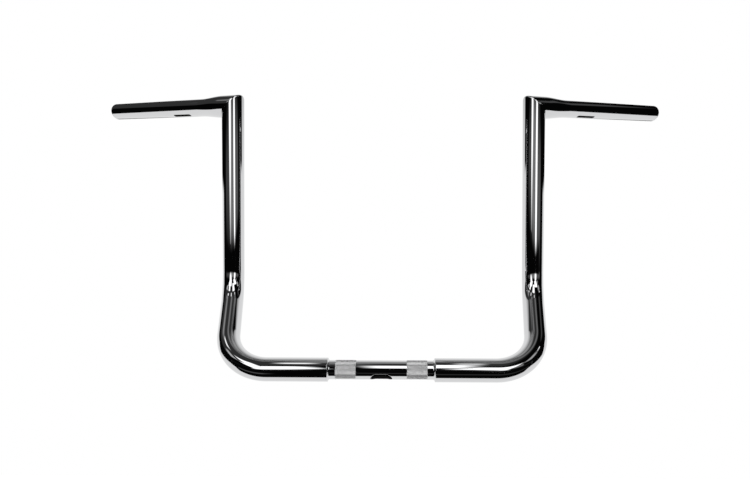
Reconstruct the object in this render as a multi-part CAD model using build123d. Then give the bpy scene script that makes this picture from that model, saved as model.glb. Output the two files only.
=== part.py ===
from build123d import *
import math
import os

# Chromed steel motorcycle handlebar, tall "ape" pattern, as one welded tube assembly.
#
# Frame: origin on the axis of the clamp section, half-way between the two knurled bands.
# +X points to the rider's left, +Y back towards the rider, +Z up, with the grips level.
# The bar is the same on both sides of the plane X = 0, so each side piece is drawn on +X
# (the rider's left) and mirrored for the rider's right. All sizes are millimetres.

# ---- driving dimensions -------------------------------------------------------------

bar_od = 25.4              # 1 inch centre tube, the size that handlebar clamps take
bar_wall = 3.05            # wall of the centre tube
tube_step = 3.175          # how far the riser tube stands proud of the centre tube
slip_clearance = 0.125     # radial gap where the centre tube slips into the riser tube
insert_length = 38.0       # length of centre tube hidden inside each riser tube
clamp_half_length = 71.5   # from the middle of the bar to the mouth of a riser tube

knurl_offset = 47.75       # middle of the bar to the middle of a knurled band
knurl_width = 27.5         # length of a knurled band along the bar
knurl_raise = 0.30         # height of the rolled knurl above the plain tube
knurl_edge = 0.25          # chamfer at both ends of a knurled band

wire_hole_length = 29.0    # oblong wiring hole under the centre tube, end to end
wire_hole_width = 16.0     # and across
wire_hole_angle = 43.0     # degrees that the hole faces below straight ahead
wire_hole_round = 0.6      # rounded rim of the hole

corner_offset = 211.0      # middle of the bar to the corner where the riser turns up
corner_radius = 65.0       # centreline radius of that lower bend
kink_side = 230.7          # where the leaning lower leg meets the upright leg: sideways
kink_back = 116.7          # the same point, behind the clamp axis
kink_rise = 78.9           # the same point, above the clamp axis
kink_radius = 65.0         # centreline radius of the bend at that point
top_side = 221.5           # corner of the upright leg and the grip: sideways
top_back = 136.0           # the same point, behind the clamp axis
top_rise = 352.0           # the same point, above the clamp axis: the rise of the bar
mouth_round = 1.2          # rounded outer rim at the mouth of a riser tube

grip_od = 25.4             # 1 inch end of the bar that carries the hand grip and controls
grip_wall = 3.05           # wall of the straight grip
grip_length = 273.8        # from the top corner to the open end, along the axis
grip_sweep = 28.6          # degrees that the grips sweep back
flare_clearance = 1.2      # plain length between the inner corner and the flare
flare_length = 47.0        # length over which the tube necks down to the grip size
end_round = 1.6            # rounded outer rim of the open end
end_chamfer = 0.6          # chamfered inner rim of the open end

slot_distance = 103.0      # from the top corner to the middle of a wiring slot
slot_length = 38.0         # wiring slot under a grip, end to end
slot_width = 5.0           # and across
slot_angle = 60.0          # degrees that the slot faces below straight ahead

step_bead_leg = 2.2        # length along the bar of the bead at a riser tube's mouth
step_bead_sag = 0.45       # how far the face of that bead is hollow
seam_width = 5.0           # width of the ground bead that joins the two tubes at the top
nose_round = 3.0           # radius of the polished point of the top corner

# ---- sizes that follow --------------------------------------------------------------

bar_radius = bar_od / 2
bar_bore = bar_radius - bar_wall
tube_radius = bar_radius + tube_step
tube_bore = bar_radius + slip_clearance
grip_radius = grip_od / 2
grip_bore = grip_radius - grip_wall

middle = Vector(0, 0, 0)
corner = Vector(corner_offset, 0, 0)
kink = Vector(kink_side, kink_back, kink_rise)
top = Vector(top_side, top_back, top_rise)

riser_direction = (top - kink).normalized()
sweep_angle = math.radians(grip_sweep)
grip_direction = Vector(math.cos(sweep_angle), math.sin(sweep_angle), 0)
grip_forward = Vector(math.sin(sweep_angle), -math.cos(sweep_angle), 0)
seam_normal = (riser_direction + grip_direction).normalized()
corner_normal = riser_direction.cross(grip_direction).normalized()
half_turn = math.acos(riser_direction.dot(grip_direction)) / 2
flare_start = tube_radius * math.tan(half_turn) + flare_clearance
flare_end = flare_start + flare_length
reach = 2 * tube_radius      # stock that runs on past a cut before it is trimmed


def below(angle, forward):
    """Unit vector that points ahead of the bar and this many degrees below level."""
    tilt = math.radians(angle)
    return forward * math.cos(tilt) - Vector(0, 0, 1) * math.sin(tilt)


def trimmed(shape, plane, keep):
    """The part of a shape on one side of a plane."""
    return split(shape, bisect_by=plane, keep=keep)


def slot_cutter(centre, along, outward, length, width, depth):
    """Oblong prism that starts at a point and runs outward."""
    plane = Plane(origin=centre, x_dir=along, z_dir=outward)
    return extrude(plane * SlotOverall(length, width), depth)


def outer_rim(shape, centre, distance):
    """Edges near a point that lie on the outside of the centre tube."""
    found = []
    for edge in shape.edges():
        point = edge.center()
        off_axis = math.hypot(point.Y, point.Z)
        if (point - centre).length < distance and off_axis > bar_radius - slip_clearance:
            found.append(edge)
    return found


def centre_tube():
    """1 inch tube with two knurled bands and an oblong wiring hole."""
    half = clamp_half_length + insert_length
    along = Plane(origin=(-half, 0, 0), x_dir=(0, 1, 0), z_dir=(1, 0, 0))
    body = extrude(along * Circle(bar_radius), 2 * half)
    for place in (-knurl_offset, knurl_offset):
        start = Plane(origin=(place - knurl_width / 2, 0, 0), x_dir=(0, 1, 0), z_dir=(1, 0, 0))
        band = extrude(start * Circle(bar_radius + knurl_raise), knurl_width)
        body += chamfer(band.edges().filter_by(GeomType.CIRCLE), knurl_edge)
    body -= extrude(along * Circle(bar_bore), 2 * half)
    outward = below(wire_hole_angle, Vector(0, -1, 0))
    hole = slot_cutter(middle, Vector(1, 0, 0), outward, wire_hole_length, wire_hole_width, bar_od)
    body -= hole
    rim = outer_rim(body, outward * bar_radius, wire_hole_length / 2 + wire_hole_round)
    return fillet(rim, wire_hole_round)


def riser_path():
    """Centreline of a riser tube: along the bar, up and back, then upright."""
    mouth = Vector(clamp_half_length, 0, 0)
    past = top + riser_direction * reach
    return FilletPolyline(mouth, corner, kink, past, radius=[corner_radius, kink_radius])


def riser_stock(radius):
    """Round rod along the whole riser centreline, left long at the top."""
    path = riser_path()
    start = Plane(origin=(clamp_half_length, 0, 0), x_dir=(0, 1, 0), z_dir=(1, 0, 0))
    return sweep(start * Circle(radius), path=path)


def grip_stock():
    """Grip tube turned about its own axis, left long at the top corner."""
    axis_plane = Plane(origin=top, x_dir=grip_direction, z_dir=corner_normal)
    tip = grip_length
    outside = Spline(
        (flare_start, tube_radius),
        (flare_end, grip_radius),
        tangents=[(1, 0), (1, 0)],
    )
    inside = Spline(
        (flare_end, grip_bore),
        (flare_start, tube_bore),
        tangents=[(-1, 0), (-1, 0)],
    )
    rim = Line((flare_end, grip_radius), (tip - end_round, grip_radius))
    crown = RadiusArc((tip - end_round, grip_radius), (tip, grip_radius - end_round), end_round)
    face = Line((tip, grip_radius - end_round), (tip, grip_bore + end_chamfer))
    bevel = Line((tip, grip_bore + end_chamfer), (tip - end_chamfer, grip_bore))
    bore = Line((tip - end_chamfer, grip_bore), (flare_end, grip_bore))
    root = Polyline(
        (flare_start, tube_bore),
        (-reach, tube_bore),
        (-reach, tube_radius),
        (flare_start, tube_radius),
    )
    profile = make_face([outside, rim, crown, face, bevel, bore, inside, root])
    return revolve(axis_plane * profile, axis=Axis(top, grip_direction))


def seam_plane(offset):
    """Plane of the top mitre, moved along its normal towards the grip."""
    return Plane(origin=top + seam_normal * offset, x_dir=corner_normal, z_dir=seam_normal)


def riser_tube(outer, inner):
    """Bent riser tube, open at both ends, with a rounded rim at its mouth."""
    tube = trimmed(outer - inner, seam_plane(-seam_width / 2), Keep.BOTTOM)
    mouth = Vector(clamp_half_length, 0, 0)
    circles = tube.edges().filter_by(GeomType.CIRCLE)
    rims = circles.filter_by(lambda edge: (edge.arc_center - mouth).length < slip_clearance)
    return fillet(rims.sort_by(Edge.radius)[-1], mouth_round)


def grip_tube(stock):
    """Swept-back grip tube with its flare and its wiring slot."""
    tube = trimmed(stock, seam_plane(seam_width / 2), Keep.TOP)
    centre = top + grip_direction * slot_distance
    outward = below(slot_angle, grip_forward)
    return tube - slot_cutter(centre, grip_direction, outward, slot_length, slot_width, grip_od)


def step_weld():
    """Hollow-faced bead between the riser tube's mouth and the centre tube."""
    height = tube_step - mouth_round
    foot = (clamp_half_length, bar_radius)
    toe = (clamp_half_length - step_bead_leg, bar_radius)
    head = (clamp_half_length, bar_radius + height)
    run = math.hypot(step_bead_leg, height)
    hollow = (
        (toe[0] + head[0]) / 2 + step_bead_sag * height / run,
        (toe[1] + head[1]) / 2 - step_bead_sag * step_bead_leg / run,
    )
    profile = make_face([Line(foot, toe), ThreePointArc(toe, hollow, head), Line(head, foot)])
    return revolve(profile, axis=Axis.X)


def nose_cutter():
    """Everything outside the rounded point of the top corner."""
    outward = (riser_direction - grip_direction).normalized()
    apex = top + outward * (tube_radius / math.cos(half_turn))
    plane = Plane(origin=apex, x_dir=seam_normal, z_dir=-corner_normal)
    half_width = nose_round * math.sin(half_turn)
    foot = -half_width * math.tan(half_turn)
    crest = nose_round - nose_round / math.cos(half_turn)
    nose = ThreePointArc((-half_width, foot), (0, crest), (half_width, foot))
    rest = Polyline((half_width, foot), (half_width, reach), (-half_width, reach), (-half_width, foot))
    return extrude(plane * make_face([nose, rest]), tube_radius, both=True)


def mitre_weld(outer, inner, stock):
    """Ground bead that fills the mitre between the riser tube and the grip tube."""
    low = trimmed(outer - inner, seam_plane(-seam_width / 2), Keep.TOP)
    low = trimmed(low, seam_plane(0), Keep.BOTTOM)
    high = trimmed(stock, seam_plane(seam_width / 2), Keep.BOTTOM)
    high = trimmed(high, seam_plane(0), Keep.TOP)
    return low + high - nose_cutter()


def write(name, shape):
    """One STEP file per piece, named after its node."""
    export_step(shape, f"parts/{name}.step")
    print(name, round(shape.volume, 1))


os.makedirs("parts", exist_ok=True)

outer_rod = riser_stock(tube_radius)
inner_rod = riser_stock(tube_bore)
grip_blank = grip_stock()

side_pieces = {
    "riser_tube": riser_tube(outer_rod, inner_rod),
    "grip_tube": grip_tube(grip_blank),
    "step_weld": step_weld(),
    "mitre_weld": mitre_weld(outer_rod, inner_rod, grip_blank),
}

write("centre_tube", centre_tube())
for piece, shape in side_pieces.items():
    write(f"left_{piece}", shape)
    write(f"right_{piece}", mirror(shape, about=Plane.YZ))
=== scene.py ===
import math

import bmesh
import bpy
import numpy as np
from mathutils import Matrix, Vector


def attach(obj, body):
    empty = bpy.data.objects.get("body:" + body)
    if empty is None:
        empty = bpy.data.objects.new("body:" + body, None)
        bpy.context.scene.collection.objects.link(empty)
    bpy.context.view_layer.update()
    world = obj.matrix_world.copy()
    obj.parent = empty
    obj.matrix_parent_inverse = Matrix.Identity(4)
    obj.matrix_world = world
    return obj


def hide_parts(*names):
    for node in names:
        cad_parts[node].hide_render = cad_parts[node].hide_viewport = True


# Chromed steel motorcycle handlebar in a plain white studio.
#
# Every tube and bead is drawn as its own mesh and stands for its CAD solid. The mesh code
# works in millimetres; the studio and the camera are in metres. +X is the rider's left.
# Each side piece is drawn on +X and mirrored for the rider's right.

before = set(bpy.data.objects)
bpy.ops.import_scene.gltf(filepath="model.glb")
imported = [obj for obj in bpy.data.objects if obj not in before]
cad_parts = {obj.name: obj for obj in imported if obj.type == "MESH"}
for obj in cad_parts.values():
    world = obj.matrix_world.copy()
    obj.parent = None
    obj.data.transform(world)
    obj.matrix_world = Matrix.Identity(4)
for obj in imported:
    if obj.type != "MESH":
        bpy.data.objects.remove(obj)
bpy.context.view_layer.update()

MM = 0.001

# ---- sizes of the bar, in millimetres, the same as in the CAD source ------------------

BAR_RADIUS = 12.7
BAR_BORE = 9.65
TUBE_RADIUS = 15.875
TUBE_BORE = 12.825
INSERT_END = 109.5
CLAMP_HALF = 71.5
KNURL_OFFSET = 47.75
KNURL_WIDTH = 27.5
KNURL_RAISE = 0.30
KNURL_EDGE = 0.25
WIRE_HOLE_LENGTH = 29.0
WIRE_HOLE_WIDTH = 16.0
WIRE_HOLE_ANGLE = 43.0
WIRE_HOLE_ROUND = 0.6
CORNER = np.array((211.0, 0.0, 0.0))
CORNER_RADIUS = 65.0
KINK = np.array((230.7, 116.7, 78.9))
KINK_RADIUS = 65.0
TOP = np.array((221.5, 136.0, 352.0))
MOUTH_ROUND = 1.2
GRIP_LENGTH = 273.8
GRIP_SWEEP = 28.6
FLARE_CLEARANCE = 1.2
FLARE_LENGTH = 47.0
END_ROUND = 1.6
END_CHAMFER = 0.6
SLOT_DISTANCE = 103.0
SLOT_LENGTH = 38.0
SLOT_WIDTH = 5.0
SLOT_ANGLE = 60.0
STEP_BEAD_LEG = 2.2
STEP_BEAD_SAG = 0.45
SEAM_WIDTH = 5.0

# ---- sizes that only the meshes have, in millimetres ----------------------------------

KNURL_DEPTH = 0.38        # depth of the knurl's grooves below the plain tube
KNURL_TEETH = 36          # points of the knurl around the tube
KNURL_FLAT = 1.25         # height of a sharp point beside that of the real, flat-topped one
KNURL_BACKING = 0.05      # thickness of the knurled band under its grooves
KNURL_WAIST = 0.1         # how far the centre tube's own skin stays below those grooves
SLOT_ROUND = 0.3          # rounded rim of a wiring slot
NOSE_SOFTNESS = 2.2       # how far the polish reaches from the ridge of a top corner
WIRE_HOLE_ZONE = 20.0     # from the middle of the wiring hole to where plain tube begins
SLOT_ZONE = 3             # from the end of a wiring slot to where plain tube begins
WELD_DISTANCE = 0.002     # points of a mesh that are closer than this become one

# ---- fineness of the meshes -----------------------------------------------------------

AROUND = 192              # quads around every tube
STEPS_PER_TOOTH = 8       # quads across each point of the knurl, both ways
HOLE_SQUEEZE = 0.9        # evens out the quads around the ends of an oblong hole
HOLE_CROWDING = 1.3       # above 1, rows of quads lie closer together near the hole
SHARP_ANGLE = math.radians(35)

OUTSIDE, INSIDE = 0, 1    # material numbers of a tube
SIDES = {1: "left", -1: "right"}
X_AXIS = np.array((1.0, 0.0, 0.0))
Z_AXIS = np.array((0.0, 0.0, 1.0))
YZ = (np.array((0.0, 1.0, 0.0)), Z_AXIS)


def unit(vector):
    return vector / np.linalg.norm(vector)


# ---- directions and distances that follow from the sizes ------------------------------

sweep = math.radians(GRIP_SWEEP)
riser_direction = unit(TOP - KINK)
grip_direction = np.array((math.cos(sweep), math.sin(sweep), 0.0))
grip_forward = np.array((math.sin(sweep), -math.cos(sweep), 0.0))
corner_normal = unit(np.cross(riser_direction, grip_direction))
corner_out = unit(riser_direction - grip_direction)
half_turn = math.acos(float(riser_direction @ grip_direction)) / 2
over_riser = unit(corner_out - riser_direction * float(corner_out @ riser_direction))
over_grip = unit(corner_out - grip_direction * float(corner_out @ grip_direction))
flare_start = TUBE_RADIUS * math.tan(half_turn) + FLARE_CLEARANCE
flare_end = flare_start + FLARE_LENGTH
seam_run = SEAM_WIDTH / 2 / math.cos(half_turn)


# ---- mesh building --------------------------------------------------------------------

class Shell:
    """Grids of points joined into quads and welded where they meet."""

    def __init__(self):
        self.points = []
        self.faces = []
        self.looks = []
        self.count = 0

    def grid(self, points, look=OUTSIDE, wrap_rows=False, wrap_columns=True):
        """Add a grid. look is its material number, or one number for each row of quads."""
        rows, columns = points.shape[:2]
        self.points.append(points.reshape(-1, 3))
        row_count = rows if wrap_rows else rows - 1
        column_count = columns if wrap_columns else columns - 1
        row, column = np.meshgrid(np.arange(row_count), np.arange(column_count), indexing="ij")
        next_row = (row + 1) % rows
        next_column = (column + 1) % columns
        quads = np.stack(
            [
                row * columns + column,
                row * columns + next_column,
                next_row * columns + next_column,
                next_row * columns + column,
            ],
            axis=-1,
        ).reshape(-1, 4)
        self.faces.append(quads + self.count)
        self.looks.append(np.repeat(np.broadcast_to(look, row_count), column_count))
        self.count += rows * columns

    def move_to(self, side):
        """Move what was drawn on the rider's left to a side: 1 is left, -1 is right."""
        for points in self.points:
            points[:, 0] *= side

    def piece(self, name, materials):
        """Make the Blender object."""
        points = np.concatenate(self.points) * MM
        faces = np.concatenate(self.faces)
        looks = np.concatenate(self.looks)
        mesh = bpy.data.meshes.new(name)
        mesh.from_pydata(points.tolist(), [], faces.tolist())
        mesh.polygons.foreach_set("material_index", looks.astype(np.int32))
        work = bmesh.new()
        work.from_mesh(mesh)
        bmesh.ops.remove_doubles(work, verts=work.verts, dist=WELD_DISTANCE * MM)
        bmesh.ops.recalc_face_normals(work, faces=work.faces)
        work.to_mesh(mesh)
        work.free()
        mesh.shade_smooth()
        mesh.set_sharp_from_angle(angle=SHARP_ANGLE)
        for material in materials:
            mesh.materials.append(material)
        piece = bpy.data.objects.new(name, mesh)
        bpy.context.scene.collection.objects.link(piece)
        even = piece.modifiers.new("even_shading", "WEIGHTED_NORMAL")
        even.mode = "FACE_AREA"
        even.keep_sharp = True
        return piece


def row_looks(outside, total):
    """Outside material on the first rows of quads, and inside material on the others."""
    return np.array([OUTSIDE] * outside + [INSIDE] * (total - outside))


def ring(centre, first, second, radius, angles):
    """Points of a circle about a centre, in the plane of two unit vectors."""
    return (
        centre
        + radius * np.cos(angles)[:, None] * first
        + radius * np.sin(angles)[:, None] * second
    )


def quadratic(start, control, end, t):
    """Point of a quadratic curve, from its start at 0 to its end at 1."""
    return (1 - t) ** 2 * start + 2 * t * (1 - t) * control + t * t * end


def turned(vector, axis, angle):
    """A vector turned about an axis."""
    return np.array(Matrix.Rotation(angle, 3, Vector(axis)) @ Vector(vector))


def spread(start, end, count):
    """Evenly spaced values, both ends included."""
    return np.linspace(start, end, count)


def even_angles():
    """Angle of each column of points around a tube."""
    return np.arange(AROUND) * (2 * math.pi / AROUND)


def stadium_hit(direction, half_straight, radius):
    """Where a ray from the middle of an oblong meets its outline."""
    along, across = direction
    if abs(along) * radius <= half_straight * abs(across):
        scale = radius / abs(across)
        return np.array((along * scale, across * scale))
    end = math.copysign(half_straight, along)
    a = along * along + across * across
    b = -2 * along * end
    c = end * end - radius * radius
    scale = (-b + math.sqrt(b * b - 4 * a * c)) / (2 * a)
    return np.array((along * scale, across * scale))


def pierced(shell, origin, axis, outward, start, end, hole, window, steps):
    """A stretch of 1 inch tube with an oblong hole through one wall.

    The stretch runs from start to end along the axis, in this many steps. Its columns are
    at whole steps from the middle of the hole, so it meets plain tube exactly. The hole
    lies in a window, which has this many columns on each side of the hole's middle. hole
    is its middle along the axis, its length and width, and the rounding of its rim.
    """
    centre, length, width, rounding = hole
    across = np.cross(outward, axis)
    step_angle = 2 * math.pi / AROUND
    window_angle = window * step_angle
    straight = (length - width) / 2
    radius = width / 2

    def place(along, angle, size):
        along, angle = along[..., None], angle[..., None]
        return origin + axis * along + size * (np.cos(angle) * outward + np.sin(angle) * across)

    stations = spread(start, end, steps + 1)
    rest = np.arange(window, AROUND - window + 1) * step_angle
    for size, look in ((BAR_RADIUS, OUTSIDE), (BAR_BORE, INSIDE)):
        shell.grid(place(stations[:, None], rest[None, :], size), look, wrap_columns=False)

    border = np.array(
        [(stations[k], -window_angle) for k in range(steps)]
        + [(end, -window_angle + k * step_angle) for k in range(2 * window)]
        + [(stations[steps - k], window_angle) for k in range(steps)]
        + [(start, window_angle - k * step_angle) for k in range(2 * window)]
    )
    sideways = border[:, 1] * BAR_RADIUS * HOLE_SQUEEZE
    directions = np.stack([border[:, 0] - centre, sideways], axis=1)
    outline = np.array([stadium_hit(d, straight, radius) for d in directions])
    rim_outline = np.array([stadium_hit(d, straight, radius + rounding) for d in directions])

    def on_tube(flat, size):
        return np.stack([centre + flat[:, 0], np.arcsin(flat[:, 1] / size)], axis=1)

    def face_rings(flat, size):
        near = on_tube(flat, size)
        rings = []
        for t in spread(0, 1, 13) ** HOLE_CROWDING:
            mixed = near * (1 - t) + border * t
            rings.append(place(mixed[:, 0], mixed[:, 1], size))
        return rings

    outside = face_rings(rim_outline, BAR_RADIUS)
    inside = face_rings(outline, BAR_BORE)
    edge_flat = on_tube(outline, BAR_RADIUS)
    edge = place(edge_flat[:, 0], edge_flat[:, 1], BAR_RADIUS)
    top_of_wall = edge - outward * rounding
    bottom_of_wall = inside[0]
    rim = [quadratic(outside[0], edge, top_of_wall, t) for t in spread(0, 1, 7)[1:]]
    wall = [top_of_wall * (1 - t) + bottom_of_wall * t for t in spread(0, 1, 4)[1:]]
    rows = outside[::-1] + rim + wall + inside[1:]
    shell.grid(np.array(rows), row_looks(len(outside) - 1 + len(rim), len(rows) - 1))


# ---- materials ------------------------------------------------------------------------

def cleared(owner, output):
    """Node tree of a material or world with nothing but its output, and the output's socket."""
    owner.use_nodes = True
    tree = owner.node_tree
    tree.nodes.clear()
    return tree, tree.nodes.new(output).inputs["Surface"]


def blank_material(name):
    """A material with nothing in it but its output."""
    material = bpy.data.materials.new(name)
    return material, *cleared(material, "ShaderNodeOutputMaterial")


def principled_material(name):
    """A material of one Principled shader."""
    material, tree, surface = blank_material(name)
    shader = tree.nodes.new("ShaderNodeBsdfPrincipled")
    tree.links.new(shader.outputs["BSDF"], surface)
    return material, tree, shader


def mapped(tree, source, low, high, first, second):
    """Node that takes a value from low..high to first..second."""
    node = tree.nodes.new("ShaderNodeMapRange")
    node.inputs["From Min"].default_value = low
    node.inputs["From Max"].default_value = high
    node.inputs["To Min"].default_value = first
    node.inputs["To Max"].default_value = second
    tree.links.new(source, node.inputs["Value"])
    return node


def noise(tree, place, scale, detail):
    """Noise with this many patches to the metre, fixed to the object."""
    node = tree.nodes.new("ShaderNodeTexNoise")
    node.inputs["Scale"].default_value = scale
    node.inputs["Detail"].default_value = detail
    tree.links.new(place.outputs["Object"], node.inputs["Vector"])
    return node.outputs["Fac"]


def tinted(tree, shader, factor, first, second):
    """Give a shader a base colour between two."""
    tint = tree.nodes.new("ShaderNodeMix")
    tint.data_type = "RGBA"
    tint.inputs["A"].default_value = (*first, 1)
    tint.inputs["B"].default_value = (*second, 1)
    tree.links.new(factor, tint.inputs["Factor"])
    tree.links.new(tint.outputs["Result"], shader.inputs["Base Color"])


def bump(tree, height, strength, distance):
    """Node for relief, distance metres high at full strength."""
    node = tree.nodes.new("ShaderNodeBump")
    node.inputs["Strength"].default_value = strength
    node.inputs["Distance"].default_value = distance
    tree.links.new(height, node.inputs["Height"])
    return node


HAZE_SCALE = 38.0              # noise that varies the gloss and the tint, in patches per metre
HAZE_RANGE = (0.3, 0.7)        # where that noise has most of its values
TINT_RANGE = (0.985, 1.015)    # darkest and lightest tint, beside the plain colour
LINES_SCALE = 900.0            # polishing marks, in patches per metre
LINES_HEIGHT = 0.00001
WAVES_SCALE = 22.0             # slow waves of a hand-polished face, in patches per metre
WAVES_HEIGHT = 0.0002
STAIN_SCALE = 160.0            # stains and pits of unplated steel, in patches per metre
STAIN_HEIGHT = 0.0001


def chrome(name, colour, smooth, rough, wave, scratch, metal=1.0):
    """Plated steel: a mirror with faint polishing lines, haze and slow waves."""
    material, tree, shader = principled_material(name)
    shader.inputs["Metallic"].default_value = metal
    place = tree.nodes.new("ShaderNodeTexCoord")
    haze = noise(tree, place, HAZE_SCALE, 4.0)
    gloss = mapped(tree, haze, *HAZE_RANGE, smooth, rough)
    tree.links.new(gloss.outputs["Result"], shader.inputs["Roughness"])
    darkest, lightest = ([min(1, c * share) for c in colour] for share in TINT_RANGE)
    tinted(tree, shader, haze, darkest, lightest)
    lines = bump(tree, noise(tree, place, LINES_SCALE, 2.0), scratch, LINES_HEIGHT)
    waves = bump(tree, noise(tree, place, WAVES_SCALE, 1.0), wave, WAVES_HEIGHT)
    tree.links.new(lines.outputs["Normal"], waves.inputs["Normal"])
    tree.links.new(waves.outputs["Normal"], shader.inputs["Normal"])
    return material


def bare_steel(name):
    """Dull, faintly stained steel inside the tubes, where the plating doesn't reach."""
    material, tree, shader = principled_material(name)
    shader.inputs["Metallic"].default_value = 0.9
    shader.inputs["Roughness"].default_value = 0.55
    place = tree.nodes.new("ShaderNodeTexCoord")
    stain = noise(tree, place, STAIN_SCALE, 5.0)
    tinted(tree, shader, stain, (0.020, 0.020, 0.021), (0.085, 0.083, 0.080))
    pits = bump(tree, stain, 0.5, STAIN_HEIGHT)
    tree.links.new(pits.outputs["Normal"], shader.inputs["Normal"])
    return material


CHROME = (0.640, 0.643, 0.650)
# The knurl's colour is lighter than plain chrome: painted sheen that stands in for the light
# its rough facets scatter. The knurl's roughness and relief are real.
KNURL_CHROME_PAINTED_SHEEN = (0.97, 0.97, 0.975)
tube_chrome = chrome("tube_chrome", CHROME, 0.020, 0.045, 0.04, 0.03)
weld_chrome = chrome("weld_chrome", CHROME, 0.040, 0.110, 0.20, 0.10)
# the knurl's chrome, partly matt and lighter than the tube's, with painted sheen in its colour
knurl_chrome_painted_sheen = chrome("knurl_chrome_painted_sheen", KNURL_CHROME_PAINTED_SHEEN, 0.10, 0.15, 0.0, 0.10, metal=0.84)
inside_steel = bare_steel("inside_steel")


# ---- the pieces -----------------------------------------------------------------------

def centre_tube():
    """1 inch tube with its wiring hole, on into both riser tubes, waisted under the knurls."""
    shell = Shell()
    tilt = math.radians(WIRE_HOLE_ANGLE)
    outward = np.array((0.0, -math.cos(tilt), -math.sin(tilt)))
    across = np.cross(outward, X_AXIS)
    zone = WIRE_HOLE_ZONE
    hole = (0.0, WIRE_HOLE_LENGTH, WIRE_HOLE_WIDTH, WIRE_HOLE_ROUND)
    pierced(shell, np.zeros(3), X_AXIS, outward, -zone, zone, hole, window=40, steps=40)
    angles = even_angles()
    near = KNURL_OFFSET - KNURL_WIDTH / 2
    far = KNURL_OFFSET + KNURL_WIDTH / 2
    waist = BAR_RADIUS - KNURL_DEPTH - KNURL_WAIST
    outer = [(x, BAR_RADIUS) for x in spread(zone, near, 16)]
    outer += [(x, waist) for x in spread(near, far, 6)]
    outer += [(x, BAR_RADIUS) for x in spread(far, INSERT_END, 24)]
    inner = [(x, BAR_BORE) for x in spread(INSERT_END, zone, 24)]
    for side in (-1, 1):
        rows = [ring(X_AXIS * side * x, outward, across, r, angles) for x, r in outer + inner]
        shell.grid(np.array(rows), row_looks(len(outer), len(rows) - 1))
    return shell.piece("centre_tube_skin", (tube_chrome, inside_steel))


def knurl_band(name, side):
    """Rolled diamond knurl on the centre tube: rows of four-sided points with cut grooves."""
    shell = Shell()
    columns = KNURL_TEETH * STEPS_PER_TOOTH
    angles = np.arange(columns) * (2 * math.pi / columns)
    pitch = 2 * math.pi * BAR_RADIUS / KNURL_TEETH
    half = KNURL_WIDTH / 2
    count = int(round(KNURL_WIDTH / pitch * STEPS_PER_TOOTH))
    back = BAR_RADIUS - KNURL_DEPTH - KNURL_BACKING
    depth = KNURL_RAISE + KNURL_DEPTH
    rows = [ring(X_AXIS * side * (KNURL_OFFSET - half), *YZ, back, angles)]
    u = angles * KNURL_TEETH / (2 * math.pi)
    for x in spread(-half, half, count + 1):
        v = x / pitch
        first = np.abs(((u + v) % 1.0) - 0.5) * 2
        second = np.abs(((u - v) % 1.0) - 0.5) * 2
        height = np.minimum(1.0, (1.0 - np.maximum(first, second)) * KNURL_FLAT)
        edge = min(1.0, (half - abs(x)) / KNURL_EDGE)
        radius = BAR_RADIUS - KNURL_DEPTH + depth * np.minimum(height, edge)
        centre = X_AXIS * side * (KNURL_OFFSET + x)
        rows.append(ring(centre, *YZ, radius[:, None], angles))
    rows.append(ring(X_AXIS * side * (KNURL_OFFSET + half), *YZ, back, angles))
    shell.grid(np.array(rows), wrap_rows=True)
    return shell.piece(name, (knurl_chrome_painted_sheen,))


def bend(before, corner, after, radius):
    """Arc that rounds a corner of the riser's centreline: angle, axis, start and centre."""
    first = unit(corner - before)
    second = unit(after - corner)
    angle = math.acos(float(first @ second))
    run = radius * math.tan(angle / 2)
    axis = unit(np.cross(first, second))
    start = corner - first * run
    centre = start + np.cross(axis, first) * radius
    return angle, axis, start, centre


def riser_frames():
    """Centre and two cross directions of each ring along a riser tube, from its mouth up."""
    low = bend(X_AXIS * CLAMP_HALF, CORNER, KINK, CORNER_RADIUS)
    high = bend(CORNER, KINK, TOP, KINK_RADIUS)
    low_angle, low_axis, low_start, _ = low
    high_angle, high_axis, high_start, _ = high
    upright = (corner_normal, over_riser)
    leg = tuple(turned(v, high_axis, -high_angle) for v in upright)
    bar = tuple(turned(v, low_axis, -low_angle) for v in leg)
    frames = []

    def straight(start, end, cross, count):
        for t in spread(0, 1, count + 1)[1:]:
            frames.append((start * (1 - t) + end * t, *cross))

    def arc(part, cross, count):
        angle, axis, start, centre = part
        for t in spread(0, 1, count + 1)[1:]:
            turn = angle * t
            middle = centre + turned(start - centre, axis, turn)
            frames.append((middle, *(turned(v, axis, turn) for v in cross)))

    first = X_AXIS * CLAMP_HALF + X_AXIS * MOUTH_ROUND
    last = TOP - riser_direction * (TUBE_RADIUS * math.tan(half_turn) + 2 * SEAM_WIDTH)
    straight(first, low_start, bar, count=12)
    arc(low, bar, count=60)
    straight(frames[-1][0], high_start, leg, count=6)
    arc(high, leg, count=40)
    straight(frames[-1][0], last, upright, count=24)
    return bar, frames


def seam_ring(radius, angles, along):
    """Ring where a tube of this radius meets the mitre, moved along one of the two tubes."""
    out = radius * np.sin(angles)[:, None] / math.cos(half_turn) * corner_out
    return TOP + radius * np.cos(angles)[:, None] * corner_normal + out + along


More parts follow.
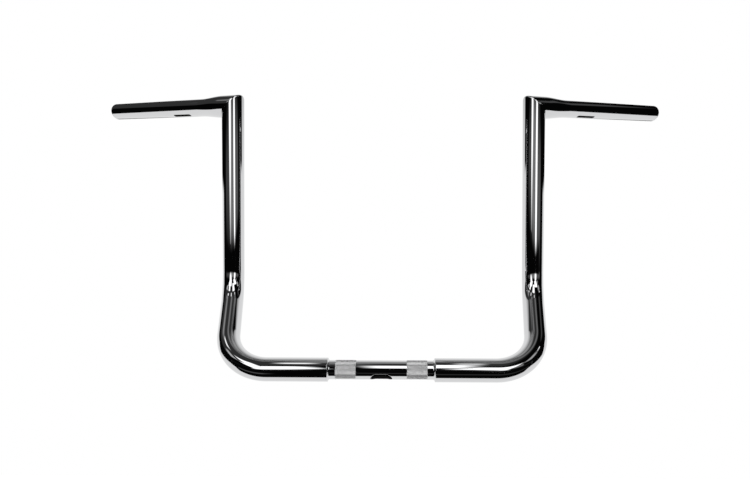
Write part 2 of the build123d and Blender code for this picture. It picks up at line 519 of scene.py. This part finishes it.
def riser_tube(side):
    """Riser tube from its rounded mouth, through both bends, to the mitre."""
    shell = Shell()
    angles = even_angles()
    bar, frames = riser_frames()
    mouth = X_AXIS * CLAMP_HALF
    rows = [ring(mouth, *bar, TUBE_BORE, angles)]
    for turn in spread(0, math.pi / 2, 9):
        shift = X_AXIS * MOUTH_ROUND * (1 - math.cos(turn))
        radius = TUBE_RADIUS - MOUTH_ROUND * (1 - math.sin(turn))
        rows.append(ring(mouth + shift, *bar, radius, angles))
    rows += [ring(c, a, b, TUBE_RADIUS, angles) for c, a, b in frames]
    rows.append(seam_ring(TUBE_RADIUS, angles, -riser_direction * seam_run))
    outside = len(rows) - 1
    rows.append(seam_ring(TUBE_BORE, angles, -riser_direction * seam_run))
    rows += [ring(c, a, b, TUBE_BORE, angles) for c, a, b in frames[::-1]]
    shell.grid(np.array(rows), row_looks(outside, len(rows)), wrap_rows=True)
    shell.move_to(side)
    return shell.piece(f"{SIDES[side]}_riser_skin", (tube_chrome, inside_steel))


def flare_radius(t, first, second):
    """Radius along a flare that starts and ends in line with the plain tube."""
    return first + (second - first) * (3 * t * t - 2 * t ** 3)


def grip_tube(side):
    """Swept-back tube that flares down to the 1 inch grip, with wiring slot and open end."""
    shell = Shell()
    tilt = math.radians(SLOT_ANGLE)
    outward = grip_forward * math.cos(tilt) - Z_AXIS * math.sin(tilt)
    across = np.cross(outward, grip_direction)
    start = SLOT_DISTANCE - SLOT_LENGTH / 2 - SLOT_ZONE
    end = SLOT_DISTANCE + SLOT_LENGTH / 2 + SLOT_ZONE
    hole = (SLOT_DISTANCE, SLOT_LENGTH, SLOT_WIDTH, SLOT_ROUND)
    pierced(shell, TOP, grip_direction, outward, start, end, hole, window=16, steps=44)
    angles = even_angles()
    # the same circle of points, as angles about the directions that the mitre uses
    start_angle = math.atan2(float(outward @ over_grip), float(outward @ corner_normal))
    facing = float(np.cross(corner_normal, over_grip) @ np.cross(outward, across))
    seam_angles = start_angle + math.copysign(1.0, facing) * angles

    def at(s, radius):
        return ring(TOP + grip_direction * s, outward, across, radius, angles)

    def on_flare(t, first, second):
        return at(flare_start + FLARE_LENGTH * t, flare_radius(t, first, second))

    # from the slot out to the flare and the mitre, and back inside
    rows = [at(start, BAR_RADIUS)]
    rows += [at(s, BAR_RADIUS) for s in spread(start, flare_end, 4)[1:]]
    rows += [on_flare(t, TUBE_RADIUS, BAR_RADIUS) for t in spread(1, 0, 33)[1:]]
    rows.append(seam_ring(TUBE_RADIUS, seam_angles, grip_direction * seam_run))
    outside = len(rows) - 1
    rows.append(seam_ring(TUBE_BORE, seam_angles, grip_direction * seam_run))
    rows += [on_flare(t, TUBE_BORE, BAR_BORE) for t in spread(0, 1, 17)]
    rows.append(at(start, BAR_BORE))
    shell.grid(np.array(rows), row_looks(outside, len(rows) - 1))

    # from the slot out to the open end, and back inside
    rows = [at(s, BAR_RADIUS) for s in spread(end, GRIP_LENGTH - END_ROUND, 24)]
    for turn in spread(0, math.pi / 2, 9)[1:]:
        s = GRIP_LENGTH - END_ROUND * (1 - math.sin(turn))
        rows.append(at(s, BAR_RADIUS - END_ROUND * (1 - math.cos(turn))))
    rows.append(at(GRIP_LENGTH, BAR_BORE + END_CHAMFER))
    rows.append(at(GRIP_LENGTH - END_CHAMFER, BAR_BORE))
    outside = len(rows) - 1
    rows += [at(s, BAR_BORE) for s in spread(GRIP_LENGTH - END_CHAMFER, end, 16)[1:]]
    shell.grid(np.array(rows), row_looks(outside, len(rows) - 1))
    shell.move_to(side)
    return shell.piece(f"{SIDES[side]}_grip_skin", (tube_chrome, inside_steel))


def mitre_weld(side):
    """Ground bead of the pointed top corner, with a softly polished ridge."""
    shell = Shell()
    angles = even_angles()
    edge = seam_ring(TUBE_RADIUS, angles, 0)
    rows = [edge - riser_direction * t for t in spread(seam_run, NOSE_SOFTNESS, 3)]
    low = edge - riser_direction * NOSE_SOFTNESS
    high = edge + grip_direction * NOSE_SOFTNESS
    rows += [quadratic(low, edge, high, t) for t in spread(0, 1, 13)[1:]]
    rows += [edge + grip_direction * t for t in spread(NOSE_SOFTNESS, seam_run, 3)[1:]]
    outside = len(rows) - 1
    inner = seam_ring(TUBE_BORE, angles, 0)
    rows.append(inner + grip_direction * seam_run)
    rows.append(inner)
    rows.append(inner - riser_direction * seam_run)
    shell.grid(np.array(rows), row_looks(outside, len(rows)), wrap_rows=True)
    shell.move_to(side)
    return shell.piece(f"{SIDES[side]}_mitre_skin", (weld_chrome, inside_steel))


def step_weld(side):
    """Hollow-faced bead between a riser tube's mouth and the centre tube."""
    shell = Shell()
    angles = even_angles()
    height = TUBE_RADIUS - MOUTH_ROUND - BAR_RADIUS
    toe = np.array((CLAMP_HALF - STEP_BEAD_LEG, BAR_RADIUS))
    head = np.array((CLAMP_HALF, BAR_RADIUS + height))
    foot = np.array((CLAMP_HALF, BAR_RADIUS))
    run = math.hypot(STEP_BEAD_LEG, height)
    sag = np.array((STEP_BEAD_SAG * height / run, -STEP_BEAD_SAG * STEP_BEAD_LEG / run)) * 2
    control = (toe + head) / 2 + sag
    profile = [quadratic(toe, control, head, t) for t in spread(0, 1, 9)]
    profile.append(foot)
    rows = [ring(X_AXIS * x, *YZ, r, angles) for x, r in profile]
    shell.grid(np.array(rows), wrap_rows=True)
    shell.move_to(side)
    return shell.piece(f"{SIDES[side]}_step_skin", (weld_chrome,))


bar = centre_tube()
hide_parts("centre_tube")
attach(bar, "root")
for side, word in SIDES.items():
    band = knurl_band(f"{word}_knurl_band", side)
    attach(band, "root")
    for maker, node, slot in (
        (riser_tube, "riser_tube", "chrome_tube"),
        (grip_tube, "grip_tube", "chrome_tube"),
        (mitre_weld, "mitre_weld", "chrome_weld"),
        (step_weld, "step_weld", "chrome_weld"),
    ):
        piece = maker(side)
        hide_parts(f"{word}_{node}")
        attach(piece, "root")


# ---- studio ---------------------------------------------------------------------------

scene = bpy.context.scene
scene.view_settings.view_transform = "Standard"

X, Y, Z = 0, 1, 2
AMBIENT = 0.82            # level of the room's light on dull surfaces, beside the panels
DARK = 0.002              # level of the unlit room in the chrome
FLOOR_SHADE = 0.82        # colour of the matt floor
FLOOR_LIFT = 0.75         # brings the lit floor up to white for the camera
ROOM = 6.0                # from the middle of the room to each of its dark faces
ROOM_SOFTNESS = 0.01
EDGE_SHARE = 0.75         # share of a panel's softness that lies on each side of its edge


def math_node(tree, operation, *sources):
    node = tree.nodes.new("ShaderNodeMath")
    node.operation = operation
    for k, source in enumerate(sources):
        tree.links.new(source, node.inputs[k])
    return node.outputs[0]


def emission(tree, strength):
    node = tree.nodes.new("ShaderNodeEmission")
    node.inputs["Strength"].default_value = strength
    return node


def mixed_shader(tree, factor, first, second):
    node = tree.nodes.new("ShaderNodeMixShader")
    tree.links.new(factor, node.inputs["Fac"])
    tree.links.new(first, node.inputs[1])
    tree.links.new(second, node.inputs[2])
    return node.outputs["Shader"]


def white_surround():
    """A world that is white behind the bar and in its reflections, and lights it softly."""
    world = bpy.data.worlds.new("white_surround")
    scene.world = world
    tree, surface = cleared(world, "ShaderNodeOutputWorld")
    back = tree.nodes.new("ShaderNodeBackground")
    back.inputs["Color"].default_value = (1, 1, 1, 1)
    ray = tree.nodes.new("ShaderNodeLightPath").outputs
    seen = math_node(tree, "MAXIMUM", ray["Is Camera Ray"], ray["Is Glossy Ray"])
    seen = math_node(tree, "MAXIMUM", seen, ray["Is Transmission Ray"])
    level = mapped(tree, seen, 0.0, 1.0, AMBIENT, 1.0)
    tree.links.new(level.outputs["Result"], back.inputs["Strength"])
    tree.links.new(back.outputs["Background"], surface)


def flat_sheet(name, corners, place):
    """A four-cornered face of the studio, from corners about its place."""
    mesh = bpy.data.meshes.new(name)
    mesh.from_pydata(corners, [], [(0, 1, 2, 3)])
    sheet = bpy.data.objects.new(name, mesh)
    sheet.location = place
    scene.collection.objects.link(sheet)
    return sheet


def soft_edge(tree, source, end, width):
    """A mask that is one up to about end, and falls smoothly to nothing."""
    edge = mapped(tree, source, end - width, end + width, 1.0, 0.0)
    edge.interpolation_type = "SMOOTHSTEP"
    return edge.outputs["Result"]


def round_mask(tree, where, others, half, margin):
    """A mask for the ellipse in a sheet."""
    shrink = tree.nodes.new("ShaderNodeMapping")
    scale = [0.0, 0.0, 0.0]
    scale[others[0]], scale[others[1]] = 1 / half[0], 1 / half[1]
    shrink.inputs["Scale"].default_value = scale
    tree.links.new(where, shrink.inputs["Vector"])
    distance = tree.nodes.new("ShaderNodeVectorMath")
    distance.operation = "LENGTH"
    tree.links.new(shrink.outputs["Vector"], distance.inputs[0])
    return soft_edge(tree, distance.outputs["Value"], 1.0, margin / min(half))


def square_mask(tree, split, others, half, margin):
    """A mask for the oblong in a sheet."""
    masks = []
    for axis, reach in zip(others, half):
        distance = math_node(tree, "ABSOLUTE", split.outputs[axis])
        masks.append(soft_edge(tree, distance, reach, margin))
    return math_node(tree, "MULTIPLY", *masks)


def panel(
    name, axis, at, first, second, softness, level, fade=None, lights=True, round_edge=False
):
    """A flat sheet of the studio that glows evenly and fades out softly at its edges.

    It is square to one axis. first and second are its spans along the other two axes,
    and a sheet with a round edge is the ellipse inside them.
    A fade is (start, end, level at the end) along the second span.
    A sheet that doesn't light dull surfaces still shows in reflections.
    """
    margin = EDGE_SHARE * softness
    spans = [first, second]
    middle = [(low + high) / 2 for low, high in spans]
    half = [(high - low) / 2 for low, high in spans]
    others = [k for k in range(3) if k != axis]
    corners = []
    for u, w in ((-1, -1), (1, -1), (1, 1), (-1, 1)):
        point = [0.0, 0.0, 0.0]
        point[others[0]] = u * (half[0] + margin)
        point[others[1]] = w * (half[1] + margin)
        corners.append(point)
    place = [0.0, 0.0, 0.0]
    place[axis] = at
    place[others[0]], place[others[1]] = middle
    sheet = flat_sheet(name, corners, place)

    material, tree, surface = blank_material(name)
    glow = emission(tree, level)
    clear = tree.nodes.new("ShaderNodeBsdfTransparent")
    where = tree.nodes.new("ShaderNodeTexCoord").outputs["Object"]
    split = tree.nodes.new("ShaderNodeSeparateXYZ")
    tree.links.new(where, split.inputs["Vector"])
    if round_edge:
        mask = round_mask(tree, where, others, half, margin)
    else:
        mask = square_mask(tree, split, others, half, margin)
    if fade:
        start, end, last = fade
        source = split.outputs[others[1]]
        slope = mapped(tree, source, start - middle[1], end - middle[1], level, last)
        tree.links.new(slope.outputs["Result"], glow.inputs["Strength"])
    shown = mixed_shader(tree, mask, clear.outputs["BSDF"], glow.outputs["Emission"])
    tree.links.new(shown, surface)
    sheet.data.materials.append(material)
    sheet.visible_camera = False
    sheet.visible_shadow = False
    sheet.visible_diffuse = lights
    sheet.visible_transmission = False
    sheet.visible_volume_scatter = False


def pale_floor(height, across, along):
    """A matt pale floor, white to the camera and in the chrome; open when seen from below."""
    corners = [(across[i], along[j], height) for i, j in ((0, 0), (1, 0), (1, 1), (0, 1))]
    floor = flat_sheet("floor", corners, (0.0, 0.0, 0.0))
    material, tree, surface = blank_material("floor")
    matt = tree.nodes.new("ShaderNodeBsdfDiffuse")
    matt.inputs["Color"].default_value = (FLOOR_SHADE, FLOOR_SHADE, FLOOR_SHADE, 1)
    lifted = tree.nodes.new("ShaderNodeAddShader")
    tree.links.new(matt.outputs["BSDF"], lifted.inputs[0])
    tree.links.new(emission(tree, FLOOR_LIFT).outputs["Emission"], lifted.inputs[1])
    white = emission(tree, 1.0)
    clear = tree.nodes.new("ShaderNodeBsdfTransparent")
    ray = tree.nodes.new("ShaderNodeLightPath").outputs
    below = tree.nodes.new("ShaderNodeNewGeometry").outputs["Backfacing"]
    shader = matt.outputs["BSDF"]
    shader = mixed_shader(tree, ray["Is Camera Ray"], shader, lifted.outputs["Shader"])
    shader = mixed_shader(tree, ray["Is Glossy Ray"], shader, white.outputs["Emission"])
    shader = mixed_shader(tree, below, shader, clear.outputs["BSDF"])
    tree.links.new(shader, surface)
    floor.data.materials.append(material)


white_surround()
pale_floor(-0.9, (-4.5, 3.8), (-1.2, 1.0))

# Left and right in the names of the panels are the camera's: left is -X.

# what stands behind the bar
panel("backdrop", Y, 0.50, (-0.45, 0.45), (-0.9, 0.8), 0.10, 1.0,
      fade=(0.25, 0.75, 0.25), lights=False)
panel("low_backdrop", Y, 0.52, (-2.2, 2.2), (-0.9, 0.22), 0.04, 1.0, lights=False)

# what stands in front of it: the dark edge of a table, softboxes and far walls
panel("table_front", Y, -0.28, (-0.8, 0.8), (-0.40, 0.125), 0.03, DARK, lights=False)
panel("table_edge_left", Y, -0.275, (-0.60, -0.22), (-0.10, -0.06), 0.03, 0.12, lights=False)
panel("table_edge_right", Y, -0.275, (-0.10, 0.75), (-0.10, -0.06), 0.03, 0.04, lights=False)
panel("left_softbox", Y, -1.32, (-0.93, -0.36), (0.18, 1.45), 0.14, 1.8, round_edge=True)
panel("right_softbox", Y, -1.85, (0.45, 1.18), (-0.20, 1.12), 0.14, 1.8, round_edge=True)
panel("between_softboxes", Y, -2.4, (-1.0, 0.35), (0.05, 0.9), 0.2, 0.25, lights=False)
panel("right_wall", Y, -2.4, (1.5, 5.6), (-0.2, 0.9), 0.5, 0.13, lights=False)
panel("left_wall", Y, -2.4, (-5.6, -1.4), (0.1, 0.9), 0.5, 0.07, lights=False)

# what hangs over it, and a lamp high up in front
panel("lamp_middle", Z, 1.2, (-0.08, 0.33), (-1.25, -0.35), 0.08, 1.9)
panel("lamp_left", Z, 1.2, (-1.30, -0.36), (-2.0, -0.9), 0.10, 1.9)
panel("lamp_left_near", Z, 1.2, (-1.0, -0.64), (-1.0, -0.42), 0.06, 1.9)
panel("lamp_right", Z, 1.2, (0.36, 1.25), (-2.1, -0.95), 0.10, 1.9)
panel("lamp_far_left", Z, 1.2, (-2.0, -1.35), (-0.9, -0.4), 0.10, 0.6)
panel("lamp_far_right", Z, 1.2, (1.4, 2.2), (-1.1, -0.5), 0.20, 0.5)
panel("spot_far_left", Z, 1.2, (-1.10, -0.86), (-0.20, -0.02), 0.05, 1.4)
panel("spot_left", Z, 1.2, (-0.40, -0.27), (-0.25, 0.02), 0.05, 1.4)
panel("spot_right", Z, 1.2, (0.25, 0.35), (-0.20, 0.02), 0.04, 1.2)
panel("spot_far_right", Z, 1.2, (1.70, 2.05), (-0.44, -0.24), 0.04, 1.4)
panel("beam_far_left", Z, 1.8, (-2.1, -1.35), (0.0, 0.5), 0.25, 0.33, lights=False)
panel("beam_left", Z, 1.8, (-0.45, -0.12), (0.0, 2.0), 0.15, 0.24, lights=False)
panel("beam_right", Z, 1.8, (0.40, 0.74), (0.0, 2.0), 0.15, 0.20, lights=False)
panel("beam_far_right", Z, 1.8, (1.8, 2.4), (0.0, 1.0), 0.25, 0.08, lights=False)
panel("back_ceiling", Z, 1.8, (-0.8, 0.75), (0.55, 2.6), 0.30, 0.40, lights=False)
panel("ceiling", Z, 1.9, (-4.0, 0.8), (-1.0, 3.0), 0.3, 0.04, lights=False)
panel("right_lamp", Y, -2.4, (1.7, 2.8), (1.3, 2.2), 0.2, 0.25, lights=False)

# the dark room around it
for axis, letter in zip((X, Y, Z), "xyz"):
    for at, word in ((-ROOM, "low"), (ROOM, "high")):
        panel(f"room_{letter}_{word}", axis, at, (-ROOM, ROOM), (-ROOM, ROOM),
              ROOM_SOFTNESS, DARK, lights=False)


# ---- camera ---------------------------------------------------------------------------

CAMERA_PLACE = (0.0131, -0.6275, 0.2960)
YAW, PITCH, ROLL = 0.0039, -0.2054, -0.0036     # radians away from a level look along +Y

camera_data = bpy.data.cameras.new("camera")
camera = bpy.data.objects.new("camera", camera_data)
scene.collection.objects.link(camera)
scene.camera = camera
camera_data.sensor_width = 36.0
camera_data.lens = 24.0
camera_data.shift_x = -0.0196
camera_data.clip_start = 0.01
turn = (
    Matrix.Rotation(YAW, 3, "Z")
    @ Matrix.Rotation(PITCH, 3, "X")
    @ Matrix.Rotation(ROLL, 3, "Y")
)
right, ahead, up = turn.col[0], turn.col[1], turn.col[2]
pose = Matrix((right, up, -ahead)).transposed().to_4x4()
pose.translation = Vector(CAMERA_PLACE)
camera.matrix_world = pose
